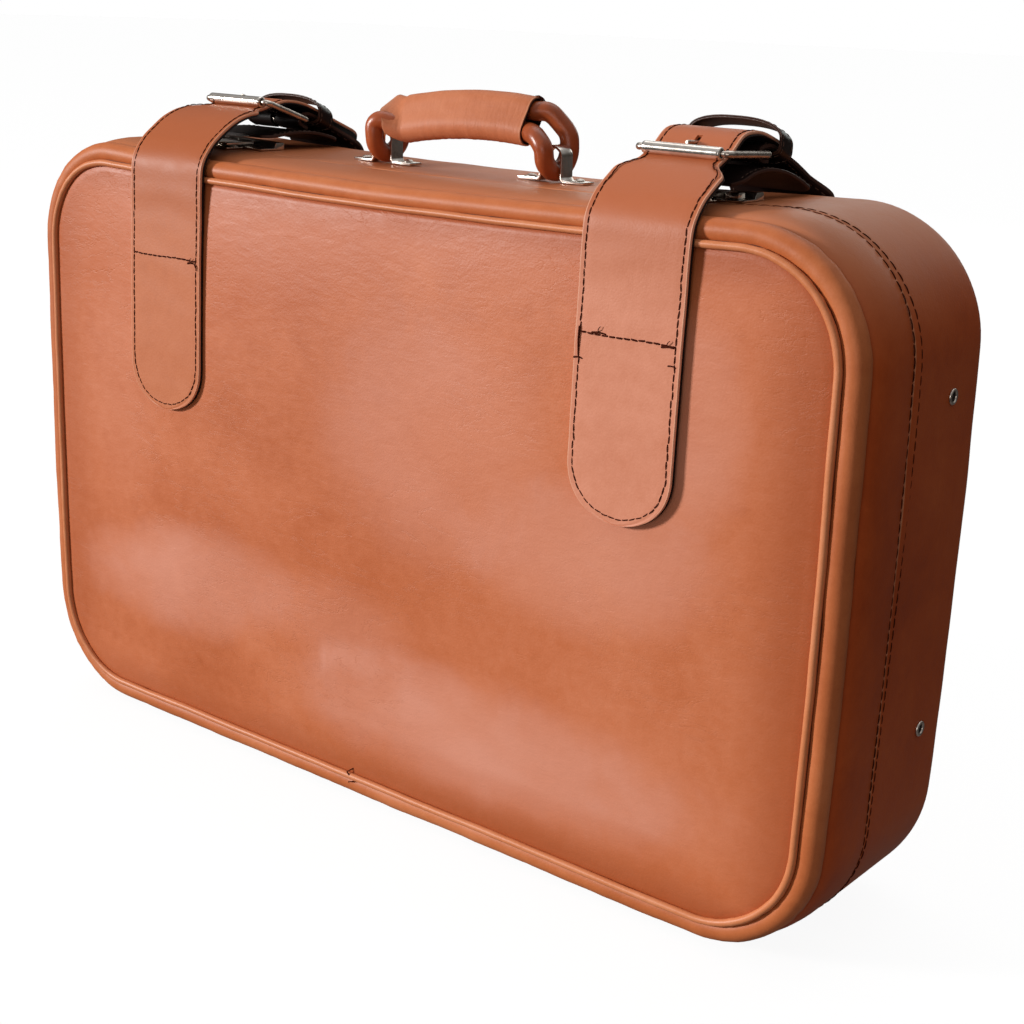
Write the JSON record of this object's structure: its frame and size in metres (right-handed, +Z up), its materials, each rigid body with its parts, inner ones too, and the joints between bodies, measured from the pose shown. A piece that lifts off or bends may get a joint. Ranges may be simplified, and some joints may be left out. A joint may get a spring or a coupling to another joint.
{
  "type": "strapped leather suitcase",
  "caption": "Rigid tan leather suitcase with rounded corners, padded carry handle, buckled straps around the body, flap locks and a lid hinged along the bottom.",
  "frame": {"origin": "middle of the bounding box's bottom face, where the case stands", "axes": "+X along the case's long side to the right seen from the lid, -Y out of the lid (front), +Y to the base's back, +Z up to the handle"},
  "size_m": [0.6686, 0.1754, 0.4633],
  "materials": {
    "tan_leather": "worn semi-gloss leather",
    "dark_leather": "satin leather",
    "black_leather": "matt black leather",
    "fibreboard": "matt pressed fibreboard",
    "lining_cloth": "plain woven lining",
    "nickel": "tarnished nickel plate"
  },
  "bodies": {
    "base": {"base_side_band": "tan_leather", "base_shell": "fibreboard", "base_back_panel": "tan_leather", "base_back_piping": "tan_leather", "base_lining": "lining_cloth", "closing_frame": "nickel", "hinge_strip": "dark_leather", "strap_rear_left": "dark_leather", "strap_rear_right": "dark_leather", "buckle_pad_left": "black_leather", "buckle_pad_right": "black_leather", "buckle_frame_left": "nickel", "buckle_frame_right": "nickel", "strap_keeper_left": "black_leather", "strap_keeper_right": "black_leather", "lock_plate_left": "nickel", "lock_plate_right": "nickel", "handle_bracket_left": "nickel", "handle_bracket_right": "nickel", "bracket_rivet_outer_left": "nickel", "bracket_rivet_inner_left": "nickel", "bracket_rivet_outer_right": "nickel", "bracket_rivet_inner_right": "nickel", "packing_strap_upper": "dark_leather", "packing_strap_lower": "dark_leather", "packing_buckle_upper": "nickel", "packing_buckle_lower": "nickel", "eyelet_upper_left": "nickel", "eyelet_lower_left": "nickel", "eyelet_upper_right": "nickel", "eyelet_lower_right": "nickel"},
    "lid": {"lid_shell": "fibreboard", "lid_front_panel": "tan_leather", "lid_piping": "tan_leather", "lid_edge_roll": "tan_leather", "lid_side_band": "tan_leather", "lid_lining": "lining_cloth", "strap_front_left": "tan_leather", "strap_front_right": "tan_leather", "lock_strike_left": "nickel", "lock_strike_right": "nickel"},
    "handle": {"handle_core": "dark_leather", "handle_grip": "tan_leather"},
    "roller_left": {"buckle_roller_left": "nickel"},
    "roller_right": {"buckle_roller_right": "nickel"},
    "prong_left": {"buckle_prong_left": "nickel"},
    "prong_right": {"buckle_prong_right": "nickel"},
    "hasp_left": {"lock_hasp_left": "nickel"},
    "hasp_right": {"lock_hasp_right": "nickel"},
    "button_left": {"lock_button_left": "nickel"},
    "button_right": {"lock_button_right": "nickel"}
  },
  "joints": [
    {"name": "lid_hinge", "type": "hinge", "parent": "base", "child": "lid", "pos_m": [0, -0.02591, 0.0006], "axis": [1, 0, 0], "range_deg": [0, 105], "deforming": ["hinge_strip"]},
    {"name": "handle_swing", "type": "hinge", "parent": "base", "child": "handle", "pos_m": [0, 0.00659, 0.432], "axis": [1, 0, 0], "range_deg": [-50, 50]},
    {"name": "buckle_roller_left_spin", "type": "hinge", "parent": "base", "child": "roller_left", "pos_m": [-0.186, -0.01941, 0.4462], "axis": [1, 0, 0], "continuous": true},
    {"name": "buckle_prong_left", "type": "hinge", "parent": "base", "child": "prong_left", "pos_m": [-0.186, 0.01909, 0.4335], "axis": [-1, 0, 0], "range_deg": [0, 30]},
    {"name": "lock_hasp_left", "type": "hinge", "parent": "base", "child": "hasp_left", "pos_m": [-0.18587, -0.01571, 0.4188], "axis": [-0.9994, 0, 0.0349], "range_deg": [0, 35]},
    {"name": "lock_button_left", "type": "slide", "parent": "base", "child": "button_left", "axis": [-0.9994, 0, 0.0349], "range_m": [0, 0.003], "stiffness_N_per_m": 200},
    {"name": "buckle_roller_right_spin", "type": "hinge", "parent": "base", "child": "roller_right", "pos_m": [0.192, -0.04291, 0.4431], "axis": [1, 0, 0], "continuous": true},
    {"name": "buckle_prong_right", "type": "hinge", "parent": "base", "child": "prong_right", "pos_m": [0.192, -0.00041, 0.4414], "axis": [-1, 0, 0], "range_deg": [0, 48]},
    {"name": "lock_hasp_right", "type": "hinge", "parent": "base", "child": "hasp_right", "pos_m": [0.19187, -0.01571, 0.4188], "axis": [-0.9994, 0, -0.0349], "range_deg": [0, 35]},
    {"name": "lock_button_right", "type": "slide", "parent": "base", "child": "button_right", "axis": [0.9994, 0, 0.0349], "range_m": [0, 0.003], "stiffness_N_per_m": 200}
  ]
}
